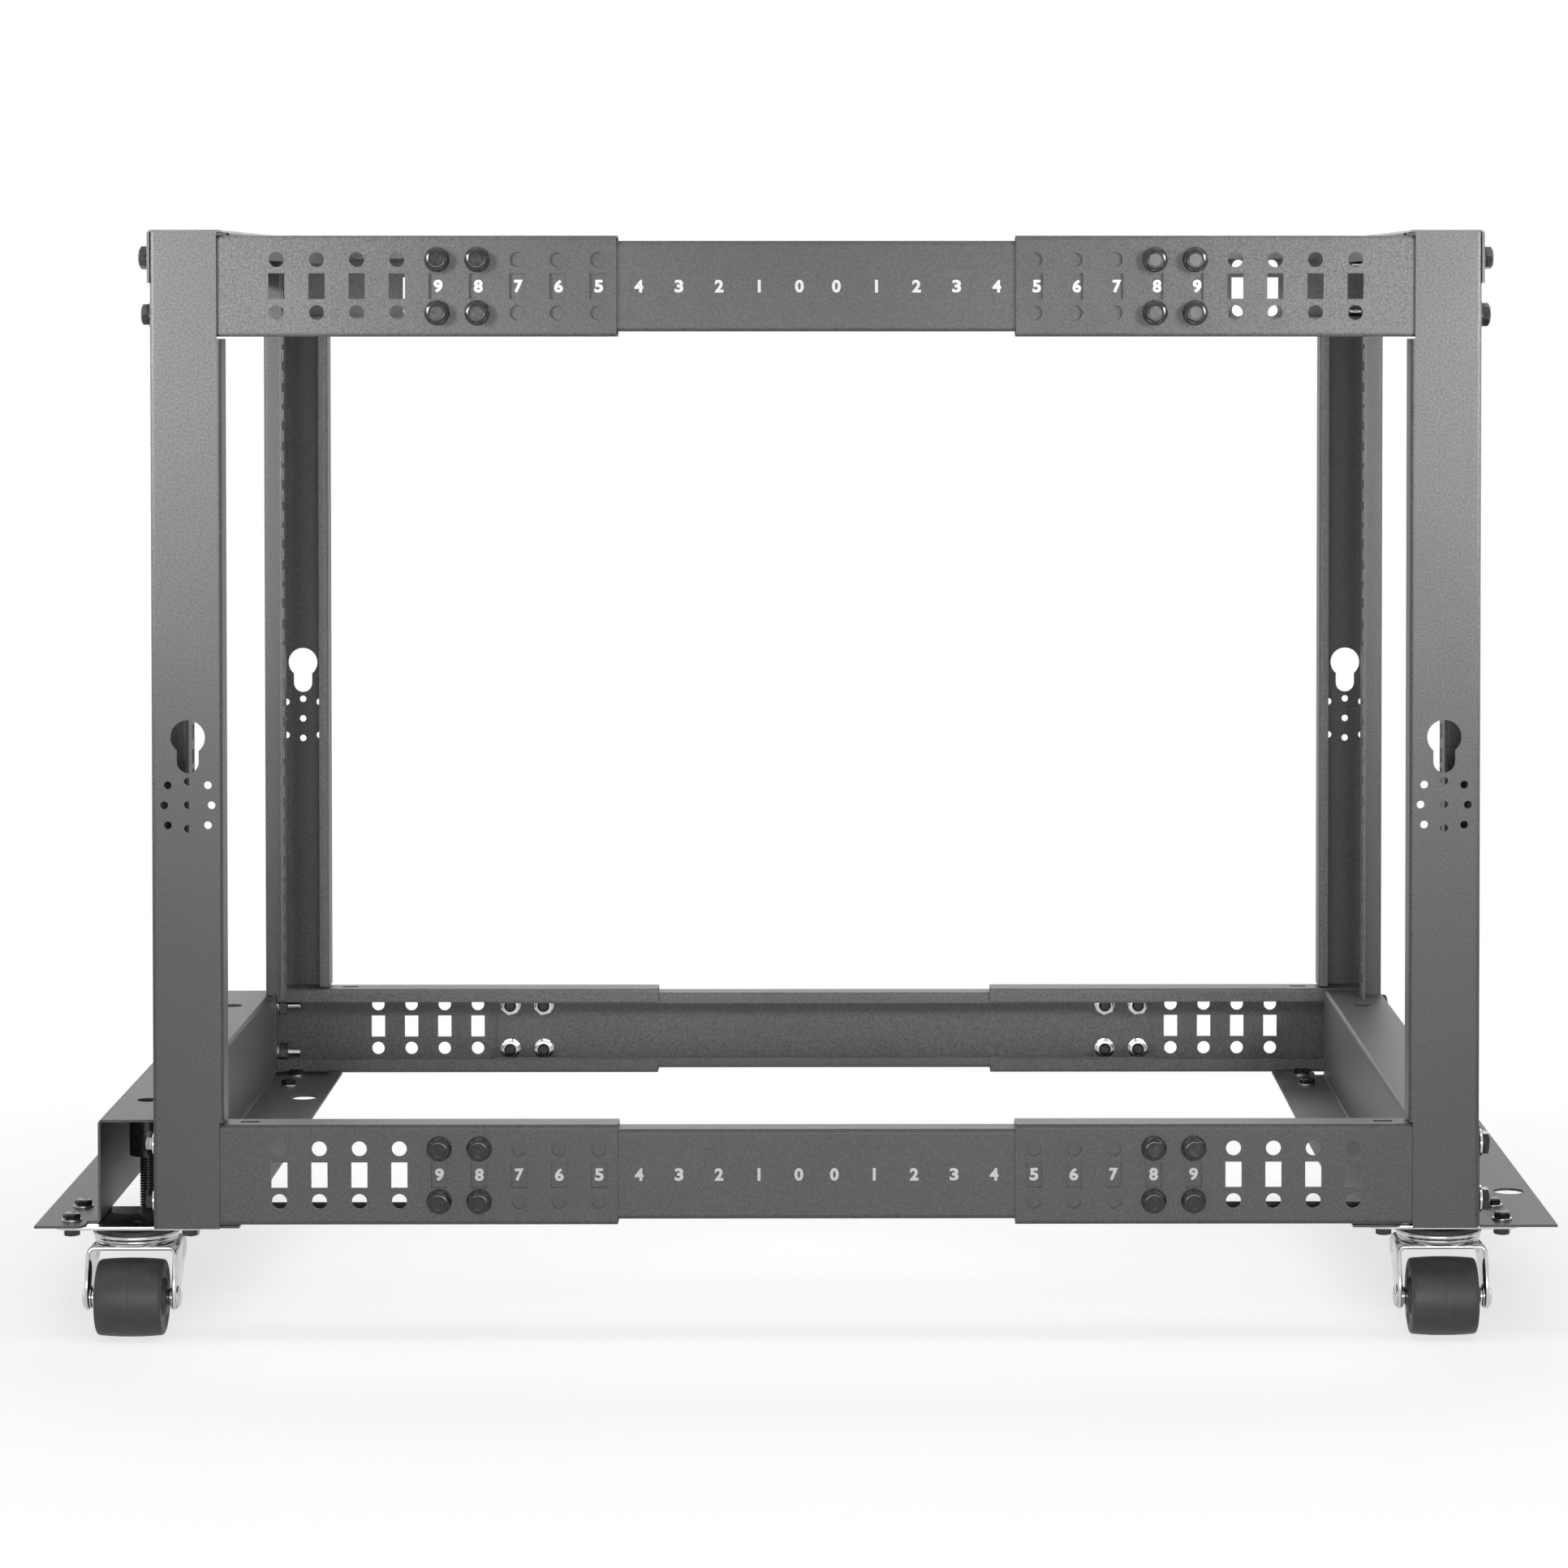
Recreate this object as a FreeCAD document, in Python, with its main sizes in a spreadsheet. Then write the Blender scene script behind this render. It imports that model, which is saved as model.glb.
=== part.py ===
"""Four post open frame rack: sheet steel posts, depth rails that telescope, two hat section base channels,
two top cross members, four swivel casters and four levelling screws. Millimetres, +Z up.
Front is -X, the rack's left side is -Y, and the floor under the wheels is Z = 0."""

import FreeCAD
import Part
import Sketcher
import math
import os
import re

DOC = FreeCAD.newDocument("four_post_rack")

# ---------------------------------------------------------------- driving sizes

SIZES = {
    # whole rack
    "rack_width": 600,
    "rack_depth": 843,
    "post_height": 633,
    "sheet": 1.6,
    "bend_inside": 1.2,
    # post section
    "post_depth": 45,
    "post_inner": 25,
    "post_lip": 7,
    "step_depth": 15,
    "mount_flange": 25,
    # keyhole and accessory holes in each post
    "keyhole_height": 313,
    "keyhole_across": 22,
    "keyhole_neck": 14,
    "keyhole_drop": 15.7,
    "accessory_height": 270,
    "accessory_square": 25.4,
    "accessory_cross": 30,
    "accessory_hole": 5,
    "accessory_inset": 23,
    # equipment holes
    "rack_unit": 44.45,
    "square_hole": 9.5,
    "hole_first": 6.35,
    "hole_step": 15.875,
    "hole_centres": 465.1,
    "hole_in_flange": 17.45,
    "bay_gap": 0.8,
    "bay_end": 33,
    # top cross member
    "cross_drop": 32,
    "cross_inner_drop": 16,
    # depth rails
    "rail_height": 64,
    "rail_gap": 2,
    "sleeve_depth": 25,
    "sleeve_lip": 10,
    "slide_gap": 0.5,
    "inner_play": 1.65,
    "inner_lip": 8,
    "inner_hole_in": 10.4,
    "bolted_column": 4,
    "column_first": 80,
    "column_step": 25.4,
    "columns": 9,
    "sleeve_past": 11.8,
    "window_wide": 10.3,
    "window_tall": 16.3,
    "rail_hole": 9.6,
    "rail_hole_rise": 16.8,
    "rail_slot_at": 60,
    "rail_slot_long": 12,
    "rail_slot_wide": 5,
    # corner bolts
    "corner_bolt_hole": 9,
    "corner_bolt_in": 15,
    "corner_bolt_rise": 18,
    # base channel
    "rail_over_box": 1,
    "box_width": 42.7,
    "foot_width": 38,
    "foot_corner": 6,
    "plate_width": 50,
    "plate_end": 10,
    "fit_gap": 0.5,
    "anchor_hole": 20,
    "anchor_out": 34,
    "anchor_in": 120,
    "level_hole": 15,
    "level_in": 100,
    # levelling screw
    "boss_across": 25,
    "boss_long": 34,
    "stem_across": 12,
    "thread_gap": 0.1,
    "stem_below": 6,
    # caster
    "caster_height": 73,
    "caster_in": 49,
    "caster_plate_long": 95,
    "caster_plate_wide": 67,
    "caster_plate_thick": 2.5,
    "caster_holes_long": 76.2,
    "caster_holes_wide": 44.5,
    "caster_hole": 6.6,
    "race_across": 53,
    "race_drop": 5.5,
    "race_gap": 0.6,
    "fork_wide": 58,
    "fork_thick": 2.3,
    "fork_top": 57.6,
    "fork_long": 44,
    "leg_foot": 17,
    "leg_wide": 20,
    "trail": 20,
    "wheel_across": 50,
    "wheel_wide": 43,
    "wheel_crown": 1.2,
    "axle_across": 8,
    "axle_gap": 0.08,
    "rivet_across": 13,
    "rivet_high": 3,
}

SHEET = DOC.addObject("Spreadsheet::Sheet", "Sizes")
for row, (alias, number) in enumerate(SIZES.items(), start=1):
    SHEET.set(f"A{row}", alias)
    SHEET.set(f"B{row}", str(number))
    SHEET.setAlias(f"B{row}", alias)
DOC.recompute()

# Places that several pieces share, as expressions in the sizes.
POST_FOOT = "(caster_height + sheet)"
RACK_FRONT = "(-(foot_width + box_width - 2 * sheet + rack_depth + sheet + plate_width) / 2"
RACK_FRONT += " + foot_width + box_width - 2 * sheet)"
RACK_REAR = f"({RACK_FRONT} + rack_depth)"
RACK_SIDE = "(-rack_width / 2)"
FRONT_WALL = f"({RACK_FRONT} + 2 * sheet)"
REAR_WALL = f"({RACK_REAR} + sheet)"
RAIL_MIDDLE = "(rail_gap + rail_height / 2)"
SLEEVE_INNER_EDGE = "(sheet + sleeve_depth)"
SWIVEL_OUT = "(box_width / 2)"
HOLE_INSET = "((rack_width - hole_centres) / 2)"
POST_FACE = f"({HOLE_INSET} - hole_in_flange)"
BOX_TOP = "(rail_gap + rail_height - rail_over_box)"
BAY_START = f"({BOX_TOP} + bay_gap)"
RACK_UNITS = f"floor((post_height - {BAY_START} - bay_end) / rack_unit)"
SLEEVE_END = "(column_first + (columns - 1) * column_step + sleeve_past)"
INNER_START = "(column_first + bolted_column * column_step - inner_hole_in)"
INNER_HEIGHT = "(rail_height - 2 * sheet - 2 * inner_play)"
RAIL_CLEAR = "(rail_gap + rail_height + 3 * fit_gap)"
BOX_START = f"({SLEEVE_INNER_EDGE} + fit_gap)"


def expression(text):
    """Turns a formula in size names into one that reads the spreadsheet."""
    return re.sub(r"\b[a-z_][a-z_0-9]*\b(?!\()", lambda word: "Sizes." + word.group(0), text)


def value(text):
    """The number that a formula in size names gives."""
    return float(SHEET.evalExpression(expression(text).replace("Sizes.", "")))


# ---------------------------------------------------------------- sketches and features


def new_body(name):
    body = DOC.addObject("PartDesign::Body", name)
    body.Label = name
    return body


def bind(thing, prop, text):
    thing.setExpression(prop, expression(text))


def place(piece, along="0", across="0", height="0"):
    """Puts a piece's own origin at a place in the rack."""
    bind(piece, "Placement.Base.x", along)
    bind(piece, "Placement.Base.y", across)
    bind(piece, "Placement.Base.z", height)


def new_sketch(body, plane, lift="0"):
    """A sketch on one of the body's own planes, lifted along that plane's normal."""
    sketch = body.newObject("Sketcher::SketchObject", body.Name + "_sketch")
    support = [item for item in body.Origin.OriginFeatures if item.Role == plane][0]
    sketch.AttachmentSupport = (support, [""])
    sketch.MapMode = "FlatFace"
    bind(sketch, "AttachmentOffset.Base.z", lift)
    return sketch


def pin(sketch, geometry, point, across, up):
    """Fixes one point of a sketch at a pair of formulas."""
    for kind, text in (("DistanceX", across), ("DistanceY", up)):
        number = sketch.addConstraint(Sketcher.Constraint(kind, geometry, point, value(text)))
        sketch.setExpression(f"Constraints[{number}]", expression(text))


def outline(sketch, corners):
    """A closed outline through corners given as pairs of formulas."""
    points = [FreeCAD.Vector(value(across), value(up), 0) for across, up in corners]
    first = sketch.GeometryCount
    count = len(points)
    for index in range(count):
        sketch.addGeometry(Part.LineSegment(points[index], points[(index + 1) % count]), False)
    for index in range(count):
        here, following = first + index, first + (index + 1) % count
        sketch.addConstraint(Sketcher.Constraint("Coincident", here, 2, following, 1))
    for index, (across, up) in enumerate(corners):
        pin(sketch, first + index, 1, across, up)


def rectangle(sketch, left, right, bottom, top):
    outline(sketch, [(left, bottom), (right, bottom), (right, top), (left, top)])


def circle(sketch, across, up, diameter):
    middle = FreeCAD.Vector(value(across), value(up), 0)
    ring = sketch.addGeometry(Part.Circle(middle, FreeCAD.Vector(0, 0, 1), value(diameter) / 2), False)
    pin(sketch, ring, 3, across, up)
    number = sketch.addConstraint(Sketcher.Constraint("Diameter", ring, value(diameter)))
    sketch.setExpression(f"Constraints[{number}]", expression(diameter))


def pad(body, sketch, length, backward=False):
    feature = body.newObject("PartDesign::Pad", body.Name + "_pad")
    feature.Profile = sketch
    bind(feature, "Length", length)
    feature.Reversed = backward
    DOC.recompute()
    return feature


def pocket(body, sketch, length, backward=False):
    """Cuts a sketch into the body, and stops if nothing was removed."""
    before = body.Shape.Volume
    feature = body.newObject("PartDesign::Pocket", body.Name + "_pocket")
    feature.Profile = sketch
    bind(feature, "Length", length)
    feature.Reversed = backward
    DOC.recompute()
    if body.Shape.Volume > before - 1e-3:
        raise RuntimeError(f"{feature.Name} removes nothing")
    return feature


def repeat(body, feature, sketch, axis, step, times):
    """Repeats a feature in a row along one axis of its sketch."""
    before = body.Shape.Volume
    row = body.newObject("PartDesign::LinearPattern", body.Name + "_row")
    row.Originals = [feature]
    row.Direction = (sketch, [axis])
    bind(row, "Length", f"({step}) * (({times}) - 1)")
    bind(row, "Occurrences", times)
    body.Tip = row
    DOC.recompute()
    if body.Shape.Volume > before - 1e-3:
        raise RuntimeError(f"{row.Name} removes nothing")


def bend(body, axis, corners, radius):
    """Rounds the straight edges that run along one axis (0, 1 or 2) through the given corners."""
    others = [number for number in (0, 1, 2) if number != axis]
    wanted = [(value(first), value(second)) for first, second in corners]
    names = []
    for number, edge in enumerate(body.Shape.Edges, start=1):
        ends = [body.Placement.inverse().multVec(vertex.Point) for vertex in edge.Vertexes]
        if len(ends) != 2 or abs(ends[0][axis] - ends[1][axis]) < 0.5 * edge.Length + 1e-6:
            continue
        spot = (ends[0][others[0]], ends[0][others[1]])
        if any(math.dist(spot, place_wanted) < 1e-3 for place_wanted in wanted):
            names.append(f"Edge{number}")
    if len(names) < len(corners):
        raise RuntimeError(f"{body.Name}: {len(names)} edges for {len(corners)} bends")
    before = body.Tip
    feature = body.newObject("PartDesign::Fillet", body.Name + "_bend")
    feature.Base = (before, names)
    bind(feature, "Radius", radius)
    body.Tip = feature
    DOC.recompute()


def mirrored(source, name, normal, middle="0"):
    """A mirror image of a piece, across a plane of the rack at a distance along its normal."""
    copy = DOC.addObject("Part::Mirroring", name)
    copy.Label = name
    copy.Source = source
    copy.Normal = normal
    letter = "xyz"[[abs(part) for part in normal].index(1)]
    bind(copy, f"Base.{letter}", middle)
    DOC.recompute()
    return copy


# ---------------------------------------------------------------- posts


def post(name):
    """One post: folded from sheet, its web outward, the equipment flange set back behind the face."""
    body = new_body(name)
    section = new_sketch(body, "XY_Plane")
    outline(section, [
        ("post_depth - post_lip", "post_inner"),
        ("post_depth", "post_inner"),
        ("post_depth", "0"),
        ("0", "0"),
        ("0", POST_FACE),
        ("step_depth", POST_FACE),
        ("step_depth", f"{POST_FACE} + mount_flange"),
        ("step_depth + sheet", f"{POST_FACE} + mount_flange"),
        ("step_depth + sheet", f"{POST_FACE} - sheet"),
        ("sheet", f"{POST_FACE} - sheet"),
        ("sheet", "sheet"),
        ("post_depth - sheet", "sheet"),
        ("post_depth - sheet", "post_inner - sheet"),
        ("post_depth - post_lip", "post_inner - sheet"),
    ])
    pad(body, section, "post_height")
    bend(body, 2, [
        ("post_depth", "post_inner"), ("post_depth", "0"), ("0", "0"), ("0", POST_FACE),
        ("step_depth + sheet", f"{POST_FACE} - sheet"),
    ], "bend_inside + sheet")
    bend(body, 2, [
        ("post_depth - sheet", "post_inner - sheet"), ("post_depth - sheet", "sheet"), ("sheet", "sheet"),
        ("sheet", f"{POST_FACE} - sheet"), ("step_depth", POST_FACE),
    ], "bend_inside")
    # the inner flange and its lip stop short of the rails, at both ends
    notch = new_sketch(body, "YZ_Plane", "post_depth - sheet - bend_inside")
    lip_notch = new_sketch(body, "XZ_Plane", "-(post_inner + 1)")
    for bottom, top in (("-1", RAIL_CLEAR), (f"post_height - {RAIL_CLEAR}", "post_height + 1")):
        rectangle(notch, "-1", "post_inner + 1", bottom, top)
        rectangle(lip_notch, "post_depth - post_lip - 1", "post_depth + 1", bottom, top)
    pocket(body, notch, "post_depth", backward=True)
    pocket(body, lip_notch, "post_inner - 2 * sheet", backward=True)
    # the step and the equipment flange stand on the base channel's top
    foot = new_sketch(body, "XZ_Plane", f"-({POST_FACE} + mount_flange + 1)")
    rectangle(foot, "sheet + bend_inside", "step_depth + sheet + 1", "-1", BOX_TOP)
    pocket(body, foot, "mount_flange + sheet + 2", backward=True)
    flange_edge = new_sketch(body, "YZ_Plane", "-1")
    rectangle(flange_edge, f"{POST_FACE} - sheet - bend_inside", f"{POST_FACE} + 1", "-1", BOX_TOP)
    pocket(body, flange_edge, "step_depth", backward=True)
    # keyhole in the web
    key = new_sketch(body, "XZ_Plane")
    circle(key, "accessory_inset", "keyhole_height", "keyhole_across")
    pocket(body, key, "2 * sheet")
    neck = new_sketch(body, "XZ_Plane")
    rectangle(neck, "accessory_inset - keyhole_neck / 2", "accessory_inset + keyhole_neck / 2",
              "keyhole_height - keyhole_drop", "keyhole_height")
    pocket(body, neck, "2 * sheet")
    neck_end = new_sketch(body, "XZ_Plane")
    circle(neck_end, "accessory_inset", "keyhole_height - keyhole_drop", "keyhole_neck")
    pocket(body, neck_end, "2 * sheet")
    # accessory holes: a square of four, a cross of four and one in the middle
    accessory = new_sketch(body, "XZ_Plane")
    half_square = "accessory_square / 2"
    half_cross = "accessory_cross / 2"
    for across, up in (
        ("0", "0"), (half_square, half_square), ("-" + half_square, half_square),
        (half_square, "-" + half_square), ("-" + half_square, "-" + half_square),
        (half_cross, "0"), ("-" + half_cross, "0"), ("0", half_cross), ("0", "-" + half_cross),
    ):
        circle(accessory, f"accessory_inset + {across}", f"accessory_height + {up}", "accessory_hole")
    pocket(body, accessory, "2 * sheet")
    # square equipment holes, three to each rack unit
    squares = new_sketch(body, "YZ_Plane", "step_depth - 1")
    for number in range(3):
        middle = f"{BAY_START} + hole_first + {number} * hole_step"
        rectangle(squares, f"{HOLE_INSET} - square_hole / 2", f"{HOLE_INSET} + square_hole / 2",
                  f"{middle} - square_hole / 2", f"{middle} + square_hole / 2")
    first = pocket(body, squares, "sheet + 2", backward=True)
    repeat(body, first, squares, "V_Axis", "rack_unit", RACK_UNITS)
    # bolt holes at both ends of the outer flange
    bolts = new_sketch(body, "YZ_Plane", "-1")
    for middle in (RAIL_MIDDLE, f"post_height - {RAIL_MIDDLE}"):
        for way in ("+", "-"):
            circle(bolts, "corner_bolt_in", f"{middle} {way} corner_bolt_rise", "corner_bolt_hole")
    pocket(body, bolts, "step_depth / 2", backward=True)
    place(body, RACK_FRONT, RACK_SIDE, POST_FOOT)
    DOC.recompute()
    return body


# ---------------------------------------------------------------- top cross member


def cross_member(name):
    """Spans two posts: a top plate, an outer plate bolted to the posts and a short inner fold."""
    body = new_body(name)
    section = new_sketch(body, "XZ_Plane")
    outline(section, [
        ("-sheet", "-cross_drop"),
        ("0", "-cross_drop"),
        ("0", "0"),
        ("post_depth", "0"),
        ("post_depth", "-cross_inner_drop"),
        ("post_depth + sheet", "-cross_inner_drop"),
        ("post_depth + sheet", "sheet"),
        ("-sheet", "sheet"),
    ])
    pad(body, section, "rack_width", backward=True)
    bend(body, 1, [("-sheet", "sheet"), ("post_depth + sheet", "sheet")], "bend_inside + sheet")
    # the inner fold stops clear of the rails at both ends
    ends = new_sketch(body, "YZ_Plane", "post_depth - sheet")
    for left, right in (
        ("-1", f"{SLEEVE_INNER_EDGE} + 3 * fit_gap"),
        (f"rack_width - {SLEEVE_INNER_EDGE} - 3 * fit_gap", "rack_width + 1"),
    ):
        rectangle(ends, left, right, "-cross_inner_drop - 1", "0")
    pocket(body, ends, "4 * sheet", backward=True)
    bolts = new_sketch(body, "YZ_Plane", "-2 * sheet")
    for across in ("corner_bolt_in", "rack_width - corner_bolt_in"):
        circle(bolts, across, f"-{RAIL_MIDDLE} + corner_bolt_rise", "corner_bolt_hole")
    pocket(body, bolts, "3 * sheet", backward=True)
    place(body, RACK_FRONT, RACK_SIDE, f"{POST_FOOT} + post_height")
    DOC.recompute()
    return body


# ---------------------------------------------------------------- base channel


def base_channel(name, wall):
    """Hat section: a front foot, a raised box and a plate that passes under the posts.
    Its own origin is on the outer side of the wall that the posts are bolted to."""
    body = new_body(name)
    section = new_sketch(body, "XZ_Plane", "-plate_end")
    outline(section, [
        ("-box_width - foot_width", "-sheet"),
        ("-box_width + sheet", "-sheet"),
        ("-box_width + sheet", f"{BOX_TOP} - sheet"),
        ("-sheet", f"{BOX_TOP} - sheet"),
        ("-sheet", "-sheet"),
        ("plate_width", "-sheet"),
        ("plate_width", "0"),
        ("0", "0"),
        ("0", BOX_TOP),
        ("-box_width", BOX_TOP),
        ("-box_width", "0"),
        ("-box_width - foot_width", "0"),
    ])
    pad(body, section, "rack_width - 2 * plate_end", backward=True)
    bend(body, 1, [
        ("0", BOX_TOP), ("-box_width", BOX_TOP), ("-sheet", "-sheet"), ("-box_width + sheet", "-sheet"),
    ], "bend_inside + sheet")
    bend(body, 1, [
        ("-sheet", f"{BOX_TOP} - sheet"), ("-box_width + sheet", f"{BOX_TOP} - sheet"),
        ("0", "0"), ("-box_width", "0"),
    ], "bend_inside")
    # the box is shorter than the wall and the plates: rails and post webs pass its ends
    trim = new_sketch(body, "XY_Plane", f"{BOX_TOP} + 1")
    for near, far in (("plate_end - 1", BOX_START), (f"rack_width - {BOX_START}", "rack_width - plate_end + 1")):
        rectangle(trim, "-box_width - 4 * sheet", "-sheet", near, far)
    pocket(body, trim, f"{BOX_TOP} + 2 * sheet + 2")
    bend(body, 2, [
        ("-box_width - 4 * sheet", "plate_end"), ("-box_width - 4 * sheet", "rack_width - plate_end"),
    ], "foot_corner")
    # each post's outer flange drops through a slot in the top, inside the wall
    slot = new_sketch(body, "XY_Plane", f"{BOX_TOP} + 1")
    for near, far in (
        (f"{BOX_START} - 1", f"{POST_FACE} + fit_gap"),
        (f"rack_width - {POST_FACE} - fit_gap", f"rack_width - {BOX_START} + 1"),
    ):
        rectangle(slot, "-2 * sheet - fit_gap", "-sheet", near, far)
    pocket(body, slot, "2 * sheet + bend_inside + 1")
    # leveller access holes in the top, anchor holes in the plate
    level = new_sketch(body, "XY_Plane", f"{BOX_TOP} + 1")
    for across in ("level_in", "rack_width - level_in"):
        circle(level, f"-{SWIVEL_OUT}", across, "level_hole")
    pocket(body, level, "2 * sheet + 1")
    anchor = new_sketch(body, "XY_Plane", "1")
    for across in ("anchor_in", "rack_width - anchor_in"):
        circle(anchor, "anchor_out", across, "anchor_hole")
    pocket(body, anchor, "2 * sheet + 1")
    # caster bolt holes
    caster = new_sketch(body, "XY_Plane", "1")
    for middle in ("caster_in", "rack_width - caster_in"):
        for along in ("-", "+"):
            for across in ("-", "+"):
                circle(caster, f"-{SWIVEL_OUT} {along} caster_holes_long / 2",
                       f"{middle} {across} caster_holes_wide / 2", "caster_hole")
    pocket(body, caster, "2 * sheet + 1")
    # corner bolt holes in the wall
    bolts = new_sketch(body, "YZ_Plane", "1")
    for across in ("corner_bolt_in", "rack_width - corner_bolt_in"):
        for way in ("+", "-"):
            circle(bolts, across, f"{RAIL_MIDDLE} {way} corner_bolt_rise", "corner_bolt_hole")
    pocket(body, bolts, "2 * sheet + 1")
    place(body, wall, RACK_SIDE, POST_FOOT)
    DOC.recompute()
    return body


# ---------------------------------------------------------------- depth rails


def channel_section(sketch, side, depth, bottom, height, lip):
    """A lipped channel, open towards the middle of the rack."""
    inner = f"({side}) + ({depth})"
    top = f"({bottom}) + ({height})"
    outline(sketch, [
        (side, bottom), (inner, bottom), (inner, f"({bottom}) + {lip}"), (f"{inner} - sheet", f"({bottom}) + {lip}"),
        (f"{inner} - sheet", f"({bottom}) + sheet"), (f"({side}) + sheet", f"({bottom}) + sheet"),
        (f"({side}) + sheet", f"{top} - sheet"), (f"{inner} - sheet", f"{top} - sheet"),
        (f"{inner} - sheet", f"{top} - {lip}"), (inner, f"{top} - {lip}"), (inner, top), (side, top),
    ])
    outer = [(side, bottom), (inner, bottom), (inner, top), (side, top)]
    inside = [
        (f"({side}) + sheet", f"({bottom}) + sheet"), (f"{inner} - sheet", f"({bottom}) + sheet"),
        (f"{inner} - sheet", f"{top} - sheet"), (f"({side}) + sheet", f"{top} - sheet"),
    ]
    return outer, inside


def sleeve(name):
    """Outer half of a depth rail: a lipped channel with a bolted end and rows of holes."""
    body = new_body(name)
    section = new_sketch(body, "YZ_Plane", "sheet + fit_gap + 2 * sheet")
    outer, inside = channel_section(section, "sheet", "sleeve_depth", "rail_gap", "rail_height", "sleeve_lip")
    pad(body, section, f"{SLEEVE_END} - 3 * sheet - fit_gap")
    bend(body, 0, outer, "bend_inside + sheet")
    bend(body, 0, inside, "bend_inside")
    # end plate behind the post's outer flange and the base channel's wall
    tab = new_sketch(body, "YZ_Plane", "2 * sheet")
    rectangle(tab, "sheet", SLEEVE_INNER_EDGE, "rail_gap + sheet", "rail_gap + rail_height - sheet")
    pad(body, tab, "sheet")
    web_end = new_sketch(body, "YZ_Plane", "2 * sheet")
    rectangle(web_end, "sheet", "2 * sheet", "rail_gap + 3 * sheet", "rail_gap + rail_height - 3 * sheet")
    pad(body, web_end, "3 * sheet")
    bolts = new_sketch(body, "YZ_Plane", "sheet")
    for way in ("+", "-"):
        circle(bolts, "corner_bolt_in", f"{RAIL_MIDDLE} {way} corner_bolt_rise", "corner_bolt_hole")
    pocket(body, bolts, "3 * sheet", backward=True)
    # rows of windows, with a round hole above and below each
    column = new_sketch(body, "XZ_Plane", "-sheet / 2")
    rectangle(column, "column_first - window_wide / 2", "column_first + window_wide / 2",
              f"{RAIL_MIDDLE} - window_tall / 2", f"{RAIL_MIDDLE} + window_tall / 2")
    for way in ("+", "-"):
        circle(column, "column_first", f"{RAIL_MIDDLE} {way} rail_hole_rise", "rail_hole")
    first = pocket(body, column, "2 * sheet")
    repeat(body, first, column, "H_Axis", "column_step", "columns")
    # a short slot in the upper and lower flange
    slots = new_sketch(body, "XY_Plane", "rail_gap + rail_height + 1")
    middle = "sheet + sleeve_depth / 2"
    rectangle(slots, "rail_slot_at - rail_slot_long / 2", "rail_slot_at + rail_slot_long / 2",
              f"{middle} - rail_slot_wide / 2", f"{middle} + rail_slot_wide / 2")
    pocket(body, slots, "rail_height + 2")
    place(body, RACK_FRONT, RACK_SIDE, POST_FOOT)
    DOC.recompute()
    return body


def inner_rail(name):
    """Inner half of a depth rail: a smaller lipped channel that slides in both sleeves."""
    body = new_body(name)
    section = new_sketch(body, "YZ_Plane", INNER_START)
    depth = "sleeve_depth - 2 * sheet - slide_gap"
    bottom = f"{RAIL_MIDDLE} - {INNER_HEIGHT} / 2"
    outer, inside = channel_section(section, "2 * sheet", depth, bottom, INNER_HEIGHT, "inner_lip")
    pad(body, section, f"rack_depth - 2 * {INNER_START}")
    bend(body, 0, outer, "bend_inside + sheet")
    bend(body, 0, inside, "bend_inside")
    # two columns of holes at each end, in line with two columns of the sleeve
    holes = new_sketch(body, "XZ_Plane", "-sheet")
    for further in ("0", "column_step"):
        along = f"{INNER_START} + inner_hole_in + {further}"
        for spot in (along, f"rack_depth - ({along})"):
            for way in ("+", "-"):
                circle(holes, spot, f"{RAIL_MIDDLE} {way} rail_hole_rise", "rail_hole")
    pocket(body, holes, "3 * sheet")
    place(body, RACK_FRONT, RACK_SIDE, POST_FOOT)
    DOC.recompute()
    return body


# ---------------------------------------------------------------- casters


def caster_plate(name, wall, side):
    """Top plate with the fixed half of the swivel race."""
    body = new_body(name)
    blank = new_sketch(body, "XY_Plane", "-caster_plate_thick")
    rectangle(blank, "-caster_plate_long / 2", "caster_plate_long / 2",
              "-caster_plate_wide / 2", "caster_plate_wide / 2")
    pad(body, blank, "caster_plate_thick")
    bend(body, 2, [
        ("-caster_plate_long / 2", "-caster_plate_wide / 2"), ("caster_plate_long / 2", "-caster_plate_wide / 2"),
        ("-caster_plate_long / 2", "caster_plate_wide / 2"), ("caster_plate_long / 2", "caster_plate_wide / 2"),
    ], "3 * caster_plate_thick")
    race = new_sketch(body, "XY_Plane", "-caster_plate_thick - race_drop")
    circle(race, "0", "0", "race_across")
    pad(body, race, "race_drop")
    holes = new_sketch(body, "XY_Plane", "1")
    for along in ("-", "+"):
        for across in ("-", "+"):
            circle(holes, f"0 {along} caster_holes_long / 2", f"0 {across} caster_holes_wide / 2", "caster_hole")
    pocket(body, holes, "caster_plate_thick + 2")
    place(body, f"{wall} - {SWIVEL_OUT}", side, "caster_height")
    DOC.recompute()
    return body


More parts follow.
